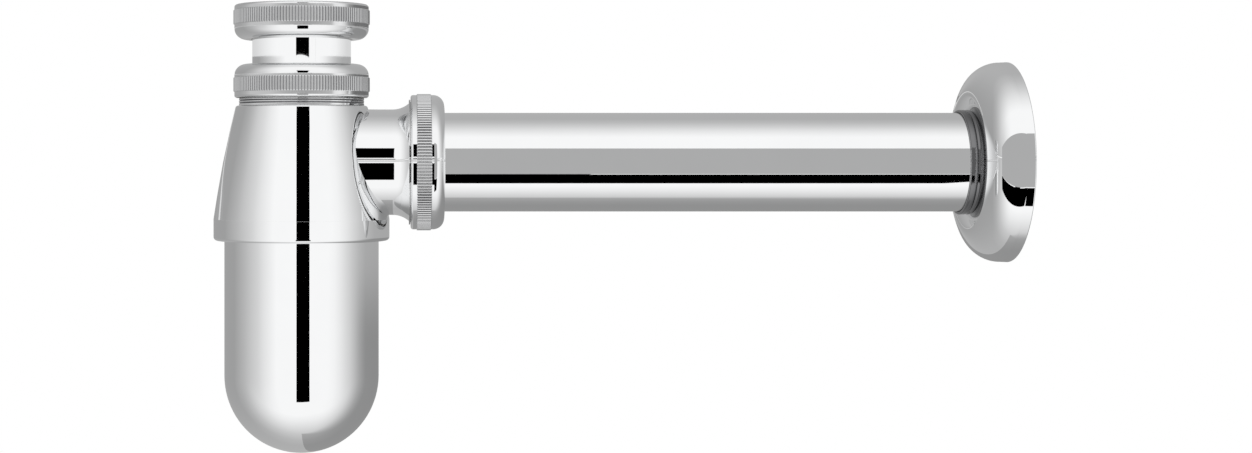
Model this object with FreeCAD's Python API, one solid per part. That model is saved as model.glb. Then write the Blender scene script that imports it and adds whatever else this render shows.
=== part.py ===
"""Chrome bottle trap for a wash basin: an inlet tube that dips into a cup of water, and a pipe to the wall.

Frame, in millimetres: the origin is the centre of the inlet nut's mouth, +Z is up along the inlet tube, and +X
runs along the outlet pipe to the wall. The real threads are fine, so bores and necks are plain here: a male
thread is drawn at its root and a female one just outside its partner's crest.
"""

import FreeCAD, Part
import math
import os

from FreeCAD import Rotation, Vector

UP = Vector(0, 0, 1)
ALONG_PIPE = Vector(1, 0, 0)

# Tube and pipe, both cut from the same drawn brass tube
tube_r = 16.0
tube_wall = 1.0
tube_edge = 0.3
tube_shown = 8.1
tube_end_height = 25.0
outlet_pipe_length = 200.0

# Running clearances
seal_gap = 0.05
face_gap = 0.05
bore_gap = 0.2
lip_gap = 0.35
thread_gap = 0.1

# How far a cutting shape runs on past the face it opens
overrun = 1.0

# Glands: a rubber cone in a tapered mouth, under a slip ring, under a nut
mouth_flare = 2.8
mouth_depth = 4.9
mouth_wall = 0.476
seal_stand = 0.9
seal_foot = 0.4
slip_ring_thickness = 0.8
slip_ring_overlap = 0.4
gland_collar_step = 0.82
gland_collar_edge_r = 0.3
gland_collar_gap = 0.2

# Pipe thread of the three nuts; on a mouth for the 32 mm tube it is the inch and a quarter size
thread_depth = 1.479
thread_lead = 0.3

# Union nuts
nut_wall = 0.72
nut_lip = 1.6
nut_corner_r = 0.7
nut_shoulder_r = 3.6
nut_step_gap = 0.3
inlet_nut_height = 11.1
inlet_nut_margin = 1.8
gland_nut_height = 10.8
gland_nut_margin = 2.0
knurl_teeth = 144
knurl_width = 4.3
knurl_height = 0.33
knurl_land = 0.32
knurl_root = 0.02

# Inlet union: the tube's turned-out collar hangs in the nut, with a flat gasket on top of it
collar_width = 3.3
collar_thickness = 1.1
collar_bend_r = 1.2
gasket_thickness = 2.4
gasket_overhang = 0.1
gasket_hole_gap = 0.4

# Cup, screwed up into the skirt against a flat ring
cup_r = 25.0
cup_wall = 1.1
cup_height = 78.7
cup_band = 0.9
cup_thread_height = 0.55
cup_thread_length = 5.4
cup_thread_gap = 0.1
cup_spigot_height = 3.7
cup_spigot_gap = 0.4
cup_shoulder_r = 0.4
cup_ring_height = 2.2
cup_ring_width = 1.8

# Cast body: neck, cone and skirt on the upright axis
neck_collar_height = 2.4
neck_roof = 1.9
roof_corner_r = 2.5
cone_top_step = 1.0
cone_top_edge_r = 0.5
cone_swell = 0.75
cone_swell_bend_r = 280.0
cone_foot_drop = 3.0
cone_blend_r = 12.0
body_wall = 2.2
skirt_wall = 1.4
skirt_overhang = 0.8
skirt_edge_r = 1.2

# Cast body: branch on the outlet axis
branch_drop = 1.1
branch_reach = 14.3
branch_wall = 1.0
branch_flare = 0.85
branch_flare_length = 6.0
branch_flare_bend_r = 12.0
branch_shoulder = 1.3
branch_shoulder_r = 1.2
branch_collar_height = 0.4
pipe_engagement = 15.4
pipe_stop_lip = 0.8

# Wall flange, spun from sheet, free to slide on the pipe
flange_wall_gap = 1.35
flange_sheet = 0.85
flange_rim_splay = 0.1
flange_rim_edge_r = 0.4
flange_side_r = 32.3
flange_side_depth = 2.8
flange_crest_reach = 5.3
flange_crest_bend_r = 3.5
flange_valley_bend_r = 1.2
flange_neck_gap = 0.15
flange_neck_rise = 3.1
flange_neck_edge_r = 0.35
flange_groove_inset = 2.3
flange_groove_width = 0.8
flange_groove_cut = 0.3

# Radii that follow from the sizes above, outwards from the tube and from the cup
tube_bore_r = tube_r - tube_wall
tube_pass_r = tube_r + lip_gap
seat_r = tube_r + bore_gap
mouth_r = seat_r + mouth_flare
slip_ring_r = mouth_r + slip_ring_overlap
slip_ring_seat_r = slip_ring_r + bore_gap
male_r = mouth_r + mouth_wall
female_r = male_r + thread_depth + thread_gap
nut_r = female_r + nut_wall
knurl_r = nut_r + knurl_height
collar_r = tube_r + collar_width
gasket_r = collar_r + gasket_overhang
gasket_hole_r = tube_bore_r + gasket_hole_gap
gasket_seat_r = gasket_r + seal_gap
gland_collar_r = male_r + gland_collar_step
cone_top_r = gland_collar_r + cone_top_step
branch_inner_r = seat_r - pipe_stop_lip
branch_r = seat_r + branch_wall
branch_flare_r = branch_r + branch_flare
cup_seat_r = cup_r + cup_spigot_gap
cup_thread_root_r = cup_r + cup_band
skirt_bore_r = cup_thread_root_r + 2 * cup_thread_height + cup_thread_gap
cone_foot_r = skirt_bore_r + skirt_wall
cone_swell_r = (cone_top_r + cone_foot_r) / 2 + cone_swell
flange_neck_bore_r = tube_r + flange_neck_gap
flange_neck_r = flange_neck_bore_r + flange_sheet
flange_crest_r = flange_neck_r + flange_crest_reach
flange_crown_bend_r = flange_side_r - flange_crest_r
flange_rim_r = flange_side_r + flange_rim_splay

# Heights that follow, from the inlet nut down to the cup
inlet_floor_z = nut_lip - inlet_nut_height
collar_base_z = inlet_floor_z + face_gap
gasket_base_z = collar_base_z + collar_thickness
gasket_top_z = gasket_base_z + gasket_thickness
inlet_ledge_z = gasket_top_z + face_gap
gland_lip_base = seal_stand + slip_ring_thickness + 2 * face_gap
gland_nut_top = gland_lip_base + nut_lip
gland_nut_foot = gland_nut_top - gland_nut_height
gland_collar_top = gland_nut_foot - gland_collar_gap
neck_mouth_z = -inlet_nut_height - tube_shown - gland_nut_top
cone_top_z = neck_mouth_z + gland_collar_top - neck_collar_height
outlet_axis_z = cone_top_z - branch_drop - branch_r
cup_rim_z = outlet_axis_z - branch_inner_r
cone_foot_z = cup_rim_z - cone_foot_drop
cone_swell_z = (cone_top_z + cone_foot_z) / 2
cup_thread_top_z = cup_rim_z - cup_spigot_height
cup_thread_foot_z = cup_thread_top_z - cup_thread_length
cup_seat_z = cup_thread_top_z + cup_ring_height + face_gap
skirt_foot_z = cup_thread_foot_z - skirt_overhang
cup_bottom_z = cup_rim_z - cup_height
cup_dome_z = cup_bottom_z + cup_r
inlet_tube_end_z = cup_bottom_z + tube_end_height

# Places that follow along the outlet, and depths of the flange from the wall
branch_mouth_x = cone_foot_r + branch_reach
branch_collar_x = branch_mouth_x + gland_collar_top - branch_collar_height
branch_flare_x = branch_collar_x - branch_shoulder
branch_flare_start_x = branch_flare_x - branch_flare_length
pipe_stop_x = branch_mouth_x - pipe_engagement
pipe_start_x = pipe_stop_x + face_gap
pipe_end_x = pipe_start_x + outlet_pipe_length
flange_wall_x = pipe_end_x + flange_wall_gap
flange_neck_depth = flange_side_depth + flange_crown_bend_r + flange_neck_rise
flange_groove_depth = flange_neck_depth - flange_groove_inset


def outline(corners):
    """A closed wire in the XZ plane through corners (r, z) or (r, z, rounding radius)."""
    points = [Vector(c[0], 0, c[1]) for c in corners]
    radii = [c[2] if len(c) > 2 else 0.0 for c in corners]
    stretches = []
    for i, corner in enumerate(points):
        before = points[i - 1] - corner
        after = points[(i + 1) % len(points)] - corner
        if not radii[i]:
            stretches.append((corner, None, corner))
            continue
        half = before.getAngle(after) / 2
        reach = radii[i] / math.tan(half)
        start = corner + before.normalize() * reach
        end = corner + after.normalize() * reach
        inward = (before + after).normalize()
        middle = corner + inward * (radii[i] / math.sin(half) - radii[i])
        stretches.append((start, middle, end))
    edges = []
    for i, (start, middle, end) in enumerate(stretches):
        if middle:
            edges.append(Part.Arc(start, middle, end).toShape())
        following = stretches[(i + 1) % len(stretches)][0]
        if end.distanceToPoint(following) > 1e-6:
            edges.append(Part.LineSegment(end, following).toShape())
    return Part.Wire(edges)


def turned(corners):
    """A solid turned about the upright axis from an outline."""
    return Part.Face(outline(corners)).revolve(Vector(), UP, 360)


def disc(radius, low, high):
    """A plain cylinder on the upright axis between two heights."""
    return Part.makeCylinder(radius, high - low, Vector(0, 0, low))


def at_neck(shape):
    """Places a gland piece, drawn about a mouth at the origin, on the body's neck."""
    placed = shape.copy()
    placed.translate(UP * neck_mouth_z)
    return placed


def at_branch(shape):
    """Places a gland piece, drawn about a mouth at the origin, on the body's branch."""
    placed = shape.copy()
    placed.Placement = FreeCAD.Placement(
        Vector(branch_mouth_x, 0, outlet_axis_z), Rotation(UP, ALONG_PIPE)
    )
    return placed


def knurled_ring(low, high):
    """A ring of straight teeth with V grooves between them, sunk into the nut's wall."""
    step = 2 * math.pi / knurl_teeth
    half_land = knurl_land / 2 / knurl_r
    root_r = nut_r + knurl_root
    points = []
    for tooth in range(knurl_teeth):
        middle = tooth * step
        for radius, angle in (
            (knurl_r, middle - half_land),
            (knurl_r, middle + half_land),
            (root_r, middle + step / 2),
        ):
            points.append(Vector(radius * math.cos(angle), radius * math.sin(angle), low))
    teeth = Part.Face(Part.makePolygon(points + points[:1])).extrude(UP * (high - low))
    return teeth.cut(disc(nut_r - nut_wall / 2, low - overrun, high + overrun))


def inlet_nut():
    """Mouth upwards, with a lip below that carries the tube's collar."""
    foot_z = -inlet_nut_height
    shell = turned([
        (tube_pass_r, foot_z),
        (nut_r, foot_z, nut_shoulder_r),
        (nut_r, 0, nut_corner_r),
        (female_r, 0),
        (female_r, inlet_ledge_z),
        (gasket_seat_r, inlet_ledge_z),
        (gasket_seat_r, inlet_floor_z),
        (tube_pass_r, inlet_floor_z),
    ])
    band_top = -inlet_nut_margin
    return shell.fuse(knurled_ring(band_top - knurl_width, band_top)).removeSplitter()


def gland_nut():
    """Mouth downwards over a threaded neck, with a lip above that presses on the slip ring."""
    shell = turned([
        (tube_pass_r, gland_lip_base),
        (slip_ring_seat_r, gland_lip_base),
        (slip_ring_seat_r, nut_step_gap),
        (female_r, nut_step_gap),
        (female_r, gland_nut_foot),
        (nut_r, gland_nut_foot, nut_corner_r),
        (nut_r, gland_nut_top, nut_shoulder_r),
        (tube_pass_r, gland_nut_top),
    ])
    band_foot = gland_nut_foot + gland_nut_margin
    return shell.fuse(knurled_ring(band_foot, band_foot + knurl_width)).removeSplitter()


def slip_ring():
    """A thin flat ring that lets the nut turn without dragging the rubber round."""
    low = seal_stand + face_gap
    high = low + slip_ring_thickness
    return disc(slip_ring_r, low, high).cut(disc(tube_pass_r, low, high))


def cone_seal():
    """A rubber cone squeezed between the tapered mouth and the tube."""
    foot_z = seal_foot - mouth_depth
    slope = (mouth_r - seat_r) / mouth_depth
    top_r = mouth_r - seal_gap * math.hypot(1, slope)
    return turned([
        (tube_r + seal_gap, foot_z),
        (top_r + slope * foot_z, foot_z),
        (top_r, 0),
        (top_r, seal_stand),
        (tube_r + seal_gap, seal_stand),
    ])


def inlet_gasket():
    """A flat rubber washer on the tube's collar, which the basin's waste presses down on."""
    ring = disc(gasket_r, gasket_base_z, gasket_top_z)
    return ring.cut(disc(gasket_hole_r, gasket_base_z, gasket_top_z))


def inlet_tube():
    """The dip tube, with its top end turned out into a collar."""
    collar_top_z = collar_base_z + collar_thickness
    return turned([
        (tube_bore_r, inlet_tube_end_z, tube_edge),
        (tube_r, inlet_tube_end_z, tube_edge),
        (tube_r, collar_base_z),
        (collar_r, collar_base_z),
        (collar_r, collar_top_z),
        (tube_bore_r, collar_top_z, collar_bend_r),
    ])


def outlet_pipe():
    """The plain pipe from the branch to the wall."""
    pipe = turned([
        (tube_bore_r, pipe_start_x),
        (tube_r, pipe_start_x, tube_edge),
        (tube_r, pipe_end_x, tube_edge),
        (tube_bore_r, pipe_end_x),
    ])
    pipe.Placement = FreeCAD.Placement(Vector(0, 0, outlet_axis_z), Rotation(UP, ALONG_PIPE))
    return pipe


def neck_end(root_z, stem_r):
    """Corners of a threaded end, from its stem up to its mouth: visible collar, then the thread's root."""
    return [
        (stem_r, root_z),
        (gland_collar_r, root_z),
        (gland_collar_r, gland_collar_top, gland_collar_edge_r),
        (male_r, gland_collar_top),
        (male_r, 0, thread_lead),
        (mouth_r, 0),
    ]


def gland_bore(depth):
    """The space in a threaded end: a tapered mouth, then a bore for the tube down to a depth."""
    return turned([
        (0, -depth),
        (seat_r, -depth),
        (seat_r, -mouth_depth),
        (mouth_r, 0),
        (mouth_r, overrun),
        (0, overrun),
    ])


def body_shell():
    """Neck, cone and skirt as one solid block."""
    collar_z = cone_top_z - neck_mouth_z
    neck = [(r, z + neck_mouth_z, *rest) for r, z, *rest in neck_end(collar_z, cone_top_r)]
    return turned([
        (0, skirt_foot_z),
        (cone_foot_r, skirt_foot_z, skirt_edge_r),
        (cone_foot_r, cone_foot_z, cone_blend_r),
        (cone_swell_r, cone_swell_z, cone_swell_bend_r),
        (cone_top_r, cone_top_z, cone_top_edge_r),
        *neck[1:-1],
        (0, neck_mouth_z),
    ])


def branch_shell():
    """The branch as one solid block: a stem that flares out to its threaded end."""
    stem = [(x - branch_mouth_x) for x in (0, branch_flare_start_x, branch_flare_x, branch_collar_x)]
    return at_branch(turned([
        (0, stem[0]),
        (branch_r, stem[0]),
        (branch_r, stem[1], branch_flare_bend_r),
        (branch_flare_r, stem[2], branch_shoulder_r),
        *neck_end(stem[3], branch_flare_r)[1:-1],
        (0, 0),
    ]))


def trap_body():
    """The casting: outer forms joined, then the chamber, the bores and the skirt's thread bore taken out."""
    slope = (cone_foot_r - cone_top_r) / (cone_top_z - cone_foot_z)
    roof_z = cone_top_z - neck_roof
    roof_r = cone_top_r + slope * neck_roof - body_wall
    chamber_foot_z = cup_rim_z + cup_spigot_gap
    chamber = turned([
        (0, skirt_foot_z - overrun),
        (skirt_bore_r, skirt_foot_z - overrun),
        (skirt_bore_r, cup_seat_z),
        (cup_seat_r, cup_seat_z),
        (cup_seat_r, chamber_foot_z),
        (roof_r, roof_z, roof_corner_r),
        (0, roof_z),
    ])
    tube_hole = at_neck(gland_bore(neck_mouth_z - roof_z + overrun))
    pipe_seat = at_branch(gland_bore(branch_mouth_x - pipe_stop_x))
    passage = at_branch(disc(branch_inner_r, -branch_mouth_x, 0))
    return body_shell().fuse(branch_shell()).cut([chamber, tube_hole, pipe_seat, passage])


def cup():
    """The bowl with a round bottom, a threaded band and a spigot for the ring."""
    bore_r = cup_r - cup_wall
    centre = Vector(0, 0, cup_dome_z)
    diagonal = Vector(math.sqrt(0.5), 0, -math.sqrt(0.5))
    outer_dome = Part.Arc(
        Vector(cup_r, 0, cup_dome_z), centre + diagonal * cup_r, Vector(0, 0, cup_bottom_z)
    )
    inner_dome = Part.Arc(
        Vector(0, 0, cup_bottom_z + cup_wall), centre + diagonal * bore_r, Vector(bore_r, 0, cup_dome_z)
    )
    walls = [
        Vector(bore_r, 0, cup_dome_z),
        Vector(bore_r, 0, cup_rim_z),
        Vector(cup_r, 0, cup_rim_z),
        Vector(cup_r, 0, cup_thread_top_z),
        Vector(cup_thread_root_r, 0, cup_thread_top_z),
        Vector(cup_thread_root_r, 0, cup_thread_foot_z),
        Vector(cup_r, 0, cup_thread_foot_z - cup_shoulder_r),
        Vector(cup_r, 0, cup_dome_z),
    ]
    bottom = Part.LineSegment(Vector(0, 0, cup_bottom_z), Vector(0, 0, cup_bottom_z + cup_wall))
    edges = [outer_dome.toShape(), bottom.toShape(), inner_dome.toShape()]
    edges += Part.makePolygon(walls).Edges
    return Part.Face(Part.Wire(edges)).revolve(Vector(), UP, 360)


def cup_ring():
    """The flat rubber ring on the cup's spigot."""
    low = cup_thread_top_z
    high = low + cup_ring_height
    hole_r = cup_r + seal_gap
    return disc(hole_r + cup_ring_width, low, high).cut(disc(hole_r, low, high))


def flange_profile(offset, rim_depth, neck_depth):
    """Edges of one face of the flange's sheet, from its rim to its neck, at an offset into the metal.

    Drawn as (radius, depth from the wall): a side, a round crown, a tighter crest, a valley and a straight neck.
    """
    crown_r = flange_crown_bend_r - offset
    crest_r = flange_crest_bend_r - offset
    valley_r = flange_valley_bend_r + offset
    crown = (flange_side_r - flange_crown_bend_r, flange_side_depth)
    crest = (crown[0], flange_side_depth + flange_crown_bend_r - flange_crest_bend_r)
    valley_x = flange_neck_r + flange_valley_bend_r
    reach = flange_crest_bend_r + flange_valley_bend_r
    valley = (valley_x, crest[1] + math.sqrt(reach**2 - (crest[0] - valley_x) ** 2))
    lean = math.atan2(valley[1] - crest[1], valley[0] - crest[0])
    quarter = math.pi / 2

    def around(centre, radius, angle):
        return Vector(centre[0] + radius * math.cos(angle), 0, centre[1] + radius * math.sin(angle))

    def arc(centre, radius, first, last):
        angles = (first, (first + last) / 2, last)
        return Part.Arc(*[around(centre, radius, angle) for angle in angles])

    parts = [
        Part.LineSegment(Vector(flange_rim_r - offset, 0, rim_depth), around(crown, crown_r, 0)),
        arc(crown, crown_r, 0, quarter),
        arc(crest, crest_r, quarter, lean),
        arc(valley, valley_r, lean - math.pi, -math.pi),
        Part.LineSegment(around(valley, valley_r, math.pi), Vector(flange_neck_r - offset, 0, neck_depth)),
    ]
    return [part.toShape() for part in parts]


def quarter_round(start, corner, end):
    """The arc that rounds a square corner of an outline, between two points the same distance from it."""
    centre = start + end - corner
    middle = centre + (corner - centre).normalize() * start.distanceToPoint(corner)
    return Part.Arc(start, middle, end).toShape()


def wall_flange():
    """Sheet spun into a round cover, with a groove round its neck."""
    rim = Vector(flange_rim_r, 0, 0)
    tip = Vector(flange_neck_r, 0, flange_neck_depth)
    rim_edge = flange_rim_edge_r
    tip_edge = flange_neck_edge_r
    inward = Vector(-1, 0, 0)
    edges = [quarter_round(rim + inward * rim_edge, rim, rim + UP * rim_edge)]
    edges += flange_profile(0, rim_edge, flange_neck_depth - tip_edge)
    edges.append(quarter_round(tip - UP * tip_edge, tip, tip + inward * tip_edge))
    edges.append(Part.LineSegment(tip + inward * tip_edge, tip + inward * flange_sheet).toShape())
    edges += flange_profile(flange_sheet, 0, flange_neck_depth)[::-1]
    edges.append(Part.LineSegment(rim + inward * flange_sheet, rim + inward * rim_edge).toShape())
    cover = Part.Face(Part.Wire(Part.sortEdges(edges)[0])).revolve(Vector(), UP, 360)
    half = flange_groove_width / 2
    groove = turned([
        (flange_neck_r - flange_groove_cut, flange_groove_depth),
        (flange_neck_r + overrun, flange_groove_depth - half - overrun),
        (flange_neck_r + overrun, flange_groove_depth + half + overrun),
    ])
    cover = cover.cut(groove)
    cover.Placement = FreeCAD.Placement(
        Vector(flange_wall_x, 0, outlet_axis_z), Rotation(UP, -ALONG_PIPE)
    )
    return cover


def main():
    nut = gland_nut()
    ring = slip_ring()
    seal = cone_seal()
    pieces = {
        "inlet_nut": inlet_nut(),
        "inlet_gasket": inlet_gasket(),
        "inlet_tube": inlet_tube(),
        "body_nut": at_neck(nut),
        "body_slip_ring": at_neck(ring),
        "body_cone_seal": at_neck(seal),
        "trap_body": trap_body(),
        "cup": cup(),
        "cup_ring": cup_ring(),
        "outlet_nut": at_branch(nut),
        "outlet_slip_ring": at_branch(ring),
        "outlet_cone_seal": at_branch(seal),
        "outlet_pipe": outlet_pipe(),
        "wall_flange": wall_flange(),
    }
    os.makedirs("parts", exist_ok=True)
    for name, shape in pieces.items():
        solid = shape.Solids[0] if len(shape.Solids) == 1 else shape
        solid.exportStep(f"parts/{name}.step")
        print(name, "solids", len(shape.Solids), "valid", shape.isValid(), "mm3", round(shape.Volume, 1))


main()
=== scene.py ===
import math

import bpy
import numpy as np
from mathutils import Matrix, Vector


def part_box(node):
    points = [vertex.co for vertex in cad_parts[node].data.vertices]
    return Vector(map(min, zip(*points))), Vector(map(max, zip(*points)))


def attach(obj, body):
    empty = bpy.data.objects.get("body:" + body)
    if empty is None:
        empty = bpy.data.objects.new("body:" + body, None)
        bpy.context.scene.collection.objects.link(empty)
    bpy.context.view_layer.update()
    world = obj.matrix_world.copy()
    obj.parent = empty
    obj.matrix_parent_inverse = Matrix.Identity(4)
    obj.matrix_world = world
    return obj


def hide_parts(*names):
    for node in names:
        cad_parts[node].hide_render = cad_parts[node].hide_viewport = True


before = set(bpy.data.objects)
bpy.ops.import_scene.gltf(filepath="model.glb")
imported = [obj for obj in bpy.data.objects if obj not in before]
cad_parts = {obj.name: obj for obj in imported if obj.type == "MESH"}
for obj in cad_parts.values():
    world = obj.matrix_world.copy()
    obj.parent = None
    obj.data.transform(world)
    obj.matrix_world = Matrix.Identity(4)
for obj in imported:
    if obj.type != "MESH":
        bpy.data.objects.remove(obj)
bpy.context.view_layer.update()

# Lengths are in millimetres, but the floor, the lamp, the camera's clip start and the shaders take metres
MM = 0.001

# Closer than SAME, two lengths are one. TINY keeps a division by a radius from failing.
SAME = 1e-6
TINY = 1e-9


def span(node):
    """Lowest and highest corner of a CAD node, in millimetres."""
    low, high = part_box(node)
    return low / MM, high / MM


# Places and main radii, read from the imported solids
pipe_low, pipe_high = span("outlet_pipe")
outlet_axis_z = (pipe_low.z + pipe_high.z) / 2
tube_r = (pipe_high.z - pipe_low.z) / 2
tube_low, tube_high = span("inlet_tube")
inlet_nut_low, inlet_nut_high = span("inlet_nut")
knurl_r = inlet_nut_high.x
body_nut_low, body_nut_high = span("body_nut")
gland_nut_height = body_nut_high.z - body_nut_low.z
body_low, body_high = span("trap_body")
neck_mouth_z = body_high.z
branch_mouth_x = body_high.x
skirt_r = -body_low.x
skirt_foot_z = body_low.z
gasket_low, gasket_high = span("inlet_gasket")
cup_low, cup_high = span("cup")
cup_ring_low, cup_ring_high = span("cup_ring")
flange_low, flange_high = span("wall_flange")
flange_wall_x = flange_high.x
flange_rim_r = (flange_high.z - flange_low.z) / 2
flange_neck_depth = flange_high.x - flange_low.x

# Tube and pipe
tube_wall = 1.0
tube_bore_r = tube_r - tube_wall
tube_edge = 0.3
collar_thickness = 1.1
collar_edge_r = 0.25
collar_bend_r = 1.2
gasket_edge_r = 0.3
gasket_room = 0.05

# Gland and its pipe thread
seat_r = tube_r + 0.2
tube_pass_r = tube_r + 0.35
mouth_r = seat_r + 2.8
mouth_depth = 4.9
slip_seat_r = mouth_r + 0.6
male_r = mouth_r + 0.476
female_r = male_r + 1.579
thread_pitch = 2.309
thread_height = 0.7
thread_lead = 0.3

# Nuts
knurl_teeth = 144
knurl_width = 4.75
knurl_height = 0.33
knurl_run_out = 0.2
nut_r = knurl_r - knurl_height
nut_lip = 1.6
nut_lip_edge_r = 0.4
nut_corner_r = 0.7
nut_shoulder_r = 3.6
nut_step_gap = 0.3
inlet_nut_margin = 1.6
gland_nut_margin = 1.85
gland_nut_top = body_nut_high.z - neck_mouth_z
gland_nut_foot = gland_nut_top - gland_nut_height
gland_lip_base = gland_nut_top - nut_lip

# Body
neck_collar_r = male_r + 0.82
neck_collar_edge_r = 0.3
neck_collar_top = gland_nut_foot - 0.2
neck_collar_height = 2.4
neck_groove_width = 0.5
neck_groove_depth = 0.25
neck_groove_edge_r = 0.12
neck_groove_shares = (0.36, 0.7)
# How far the painted shade in the collar's grooves keeps from the collar's ends and from the thread's radius,
# and how far below the collar's face it starts
neck_groove_margin = 0.1
neck_groove_skin = 0.04
cone_top_r = neck_collar_r + 1.0
cone_top_edge_r = 0.9
cone_top_z = neck_mouth_z + neck_collar_top - neck_collar_height
cone_swell = 0.75
cone_swell_bend_r = 280.0
cone_blend_r = 0.35
skirt_edge_r = 1.2
body_wall = 2.2
neck_roof = 1.9
roof_corner_r = 2.5
branch_r = seat_r + 0.9
branch_root_r = branch_r + 0.5
branch_root_x = 12.0
branch_waist_x = 22.0
branch_root_bend_r = 100.0
branch_flare_r = branch_r + 2.0
branch_collar_x = branch_mouth_x + neck_collar_top - 0.4
branch_flare_x = branch_collar_x - 2.3
branch_flare_bend_r = 8.0
passage_r = seat_r - 0.8
pipe_stop_x = pipe_low.x - 0.05
overrun = 1.0

# Cup
cup_band_r = cup_high.x
cup_r = cup_band_r - 0.9
cup_wall = 1.1
cup_rim_z = cup_high.z
cup_dome_z = cup_low.z + cup_r
cup_thread_height = 0.55
cup_thread_pitch = 2.0
cup_band_top_z = cup_ring_low.z
cup_band_foot_z = cup_band_top_z - 5.4
cup_shoulder = 0.4
skirt_bore_r = cup_band_r + 2 * cup_thread_height + 0.1
cup_seat_z = cup_ring_high.z + 0.05
cup_seat_r = cup_r + 0.4
cone_foot_z = cup_rim_z - 3.0
chamber_taper_z = cup_rim_z + 0.4

# Where the thread ridges start and end, each along its own axis
male_ridge_low = neck_collar_top + 0.3
male_ridge_high = -0.4
gland_ridge_low = gland_nut_foot + 0.5
gland_ridge_high = -0.1
inlet_ridge_low = gasket_high.z + 0.1
inlet_ridge_high = -0.3
cup_ridge_low = cup_band_foot_z + 0.1
cup_ridge_high = cup_band_top_z - 0.1

# Wall flange
flange_sheet = 0.85
flange_rim_edge_r = 0.4
flange_side_r = flange_rim_r - 0.1
flange_side_depth = 2.8
flange_neck_r = tube_r + 0.15 + flange_sheet
flange_crest_bend_r = 3.5
flange_crest_r = flange_neck_r + 5.3
flange_crown_bend_r = flange_side_r - flange_crest_r
flange_valley_bend_r = 1.2
flange_groove_inset = 2.3
flange_groove_half = 0.55
flange_groove_cut = 0.3
flange_groove_bottom_r = 0.12
flange_bead_r = 0.3
flange_tip_edge_r = 0.35
# How far out from the neck, as a share of the valley's bend, the neck's painted shade reaches
flange_shade_reach = 0.8

# Meshing
ARC_STEP = math.radians(4)
COLUMNS = 288
KNURL_COLUMNS = (0.0, 0.13, 0.25, 0.38, 0.5, 0.62, 0.75, 0.87)
KNURL_PROFILE = (0.05, 0.6, 0.8, 0.94, 1.0, 0.94, 0.8, 0.6)
# Finish slots: the plate, the bore, and a darker plate that is painted shade in grooves, knurl valleys and on
# the flange's neck
PLATE, BORE, PAINTED_SHADE = 0, 1, 2

# A face looks at the axis where the outward parts of its two normals add up to less than this
FACES_AXIS = -1.0

# A face of the casting lies on the nearest outline whose normal is this much like its own
LIKE_NORMAL = 0.8
OUT_OF_REACH = 1e9

# Thread ridges: half widths of the root and the crest as shares of the pitch, how deep the foot sits in the
# wall, the turn over which a ridge runs in and out, its least height there, and its sharp edges
THREAD_STEPS = 96
RIDGE_ROOT = 0.42
RIDGE_CREST = 0.07
RIDGE_SINK = 0.04
RIDGE_RUN_IN = math.pi / 3
RIDGE_LEAST = 0.02
RIDGE_SHARP = math.radians(25)

UPRIGHT = Matrix.Identity(4)
TO_WALL = Matrix.Rotation(math.pi / 2, 4, "Y")
AT_NECK = Matrix.Translation((0, 0, neck_mouth_z))
AT_BRANCH = Matrix.Translation((branch_mouth_x, 0, outlet_axis_z)) @ TO_WALL
ON_OUTLET_AXIS = Matrix.Translation((0, 0, outlet_axis_z)) @ TO_WALL
AT_WALL = Matrix.Translation((flange_wall_x, 0, outlet_axis_z)) @ Matrix.Rotation(-math.pi / 2, 4, "Y")


# Turned meshes

def arc(centre, radius, first, last, side=1.0):
    """Points and normals along an arc, from one angle to another; side -1 is a hollow arc."""
    steps = max(2, math.ceil(abs(last - first) / ARC_STEP))
    angles = np.linspace(first, last, steps + 1)
    arms = np.stack([np.cos(angles), np.sin(angles)], 1)
    return [(np.array(centre) + radius * arm, side * arm) for arm in arms]


def corner_arc(before, corner, after, radius):
    """The arc that rounds one corner of a counter-clockwise outline."""
    into = (corner - before) / np.linalg.norm(corner - before)
    away = (after - corner) / np.linalg.norm(after - corner)
    turn = math.atan2(into[0] * away[1] - into[1] * away[0], into @ away)
    side = math.copysign(1.0, turn)
    start = corner - into * radius * math.tan(abs(turn) / 2)
    centre = start + side * radius * np.array([-into[1], into[0]])
    first = math.atan2(*(start - centre)[::-1])
    return arc(centre, radius, first, first + turn, side)


def joined(stretches):
    """Segments of a closed outline through stretches of points, with straight lines between the stretches.

    Each segment is two ends (r, h, normal r, normal h), so that a turned surface gets exact normals.
    """
    segments = []
    for i, stretch in enumerate(stretches):
        for (p, n), (q, m) in zip(stretch, stretch[1:]):
            segments.append(((*p, *n), (*q, *m)))
        p = stretch[-1][0]
        q = stretches[(i + 1) % len(stretches)][0][0]
        length = np.linalg.norm(q - p)
        if length > SAME:
            n = ((q - p)[1] / length, -(q - p)[0] / length)
            segments.append(((*p, *n), (*q, *n)))
    return np.array(segments)


def outline(corners):
    """Segments through corners (r, h) or (r, h, rounding radius), counter-clockwise."""
    points = [np.array(c[:2], float) for c in corners]
    stretches = []
    for i, corner in enumerate(points):
        if len(corners[i]) == 2:
            stretches.append([(corner, None)])
        else:
            stretches.append(corner_arc(points[i - 1], corner, points[(i + 1) % len(points)], corners[i][2]))
    return joined(stretches)


def knurl_angles():
    """Angles of a knurled nut's columns."""
    turns = (np.arange(knurl_teeth)[:, None] + np.array(KNURL_COLUMNS)) / knurl_teeth
    return turns.ravel() * 2 * math.pi


def knurl_relief(h, band, rise):
    """Height of the teeth and its slopes round and along, at each column, at height h in a band."""
    low, high = band
    window = max(0.0, min(1.0, (h - low) / knurl_run_out, (high - h) / knurl_run_out))
    lift = np.tile(KNURL_PROFILE, knurl_teeth) * knurl_height
    angles = knurl_angles()
    gap = (np.roll(angles, -1) - np.roll(angles, 1)) % (2 * math.pi)
    round_slope = (np.roll(lift, -1) - np.roll(lift, 1)) / gap / nut_r
    return lift * window, round_slope * window, lift * rise / knurl_run_out


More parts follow.
